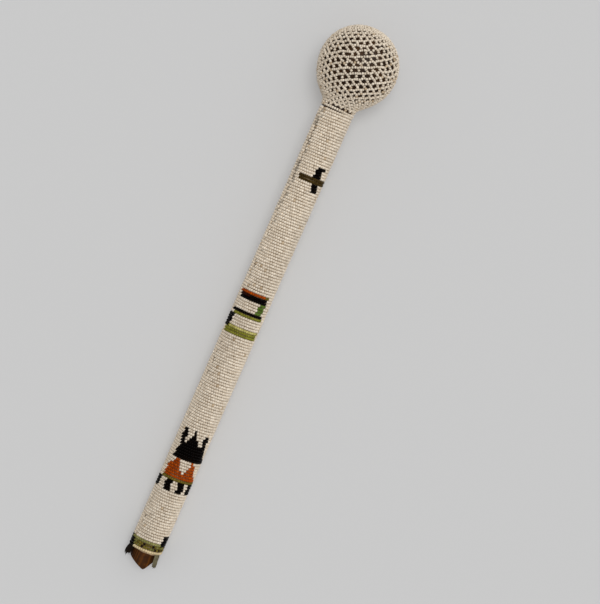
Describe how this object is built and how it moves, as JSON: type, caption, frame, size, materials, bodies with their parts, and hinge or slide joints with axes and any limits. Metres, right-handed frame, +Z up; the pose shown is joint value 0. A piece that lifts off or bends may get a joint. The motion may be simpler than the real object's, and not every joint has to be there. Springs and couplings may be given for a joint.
{
  "type": "beaded gourd rattle",
  "caption": "Gourd rattle with a bead-wrapped stick handle and a bead net over its round head, with loose seeds inside.",
  "frame": {"origin": "centre of the rattle's footprint on the floor, as it lies on its side", "axes": "+X from the butt towards the round head, +Z up from the floor out of the decorated front, +Y to the left of someone who looks down on the front with the head away from them"},
  "size_m": [0.4712, 0.0646, 0.0645],
  "materials": {
    "white_beads": "opaque off-white glass seed beads, satin, slightly yellowed",
    "cream_beads": "opaque cream glass seed beads, satin",
    "net_beads": "opaque beige glass seed beads, satin",
    "black_beads": "opaque black glass seed beads, glossy",
    "olive_beads": "olive glass seed beads, glossy",
    "green_beads": "yellow-green glass seed beads, glossy",
    "orange_beads": "burnt-orange glass seed beads, glossy",
    "wood": "bare whittled brown wood",
    "hide": "dark brown smoked hide",
    "dark_cloth": "black-brown wool cloth with a frayed edge",
    "green_cloth": "grey-green wool cloth with a frayed edge",
    "thread": "dark waxed thread",
    "gourd": "dried gourd skin, dark brown, satin",
    "leather": "plain brown leather",
    "seed": "dry brown seeds, satin"
  },
  "bodies": {
    "rattle": {"stick": "wood", "backing_sleeve": "hide", "seam_thread": "thread", "edge_bead_row": "cream_beads", "foot_olive_rows": "olive_beads", "foot_white_rows": "white_beads", "figure_leg_rows": "black_beads", "figure_belt_row": "olive_beads", "figure_skirt_rows": "orange_beads", "figure_crown_rows": "black_beads", "lower_white_rows": "white_beads", "key_green_rows": "green_beads", "key_lower_rows": "white_beads", "key_olive_row": "olive_beads", "key_black_row": "black_beads", "key_upper_rows": "white_beads", "key_dark_rows": "black_beads", "key_orange_row": "orange_beads", "middle_white_rows": "white_beads", "cross_lower_rows": "black_beads", "cross_bar_rows": "olive_beads", "cross_upper_rows": "black_beads", "neck_white_rows": "white_beads", "butt_black_tab": "dark_cloth", "butt_green_tab": "green_cloth", "gourd_shell": "gourd", "neck_washer": "leather", "neck_peg": "wood", "neck_binding": "thread", "lower_net": "net_beads", "upper_net": "net_beads", "crown_ring": "net_beads"},
    "seed_01": {"seed_01": "seed"},
    "seed_02": {"seed_02": "seed"},
    "seed_03": {"seed_03": "seed"},
    "seed_04": {"seed_04": "seed"},
    "seed_05": {"seed_05": "seed"},
    "seed_06": {"seed_06": "seed"},
    "seed_07": {"seed_07": "seed"},
    "seed_08": {"seed_08": "seed"},
    "seed_09": {"seed_09": "seed"},
    "seed_10": {"seed_10": "seed"},
    "seed_11": {"seed_11": "seed"},
    "seed_12": {"seed_12": "seed"}
  },
  "joints": [
    {"name": "seed_01_throw", "type": "slide", "parent": "rattle", "child": "seed_01", "axis": [0, 0, 1], "range_m": [0, 0.047]},
    {"name": "seed_02_throw", "type": "slide", "parent": "rattle", "child": "seed_02", "axis": [0, 0, 1], "range_m": [0, 0.047]},
    {"name": "seed_03_throw", "type": "slide", "parent": "rattle", "child": "seed_03", "axis": [0, 0, 1], "range_m": [0, 0.047]},
    {"name": "seed_04_throw", "type": "slide", "parent": "rattle", "child": "seed_04", "axis": [0, 0, 1], "range_m": [0, 0.047]},
    {"name": "seed_05_throw", "type": "slide", "parent": "rattle", "child": "seed_05", "axis": [0, 0, 1], "range_m": [0, 0.043]},
    {"name": "seed_06_throw", "type": "slide", "parent": "rattle", "child": "seed_06", "axis": [0, 0, 1], "range_m": [0, 0.043]},
    {"name": "seed_07_throw", "type": "slide", "parent": "rattle", "child": "seed_07", "axis": [0, 0, 1], "range_m": [0, 0.043]},
    {"name": "seed_08_throw", "type": "slide", "parent": "rattle", "child": "seed_08", "axis": [0, 0, 1], "range_m": [0, 0.043]},
    {"name": "seed_09_throw", "type": "slide", "parent": "rattle", "child": "seed_09", "axis": [0, 0, 1], "range_m": [0, 0.043]},
    {"name": "seed_10_throw", "type": "slide", "parent": "rattle", "child": "seed_10", "axis": [0, 0, 1], "range_m": [0, 0.043]},
    {"name": "seed_11_throw", "type": "slide", "parent": "rattle", "child": "seed_11", "axis": [0, 0, 1], "range_m": [0, 0.043]},
    {"name": "seed_12_throw", "type": "slide", "parent": "rattle", "child": "seed_12", "axis": [0, 0, 1], "range_m": [0, 0.043]}
  ]
}
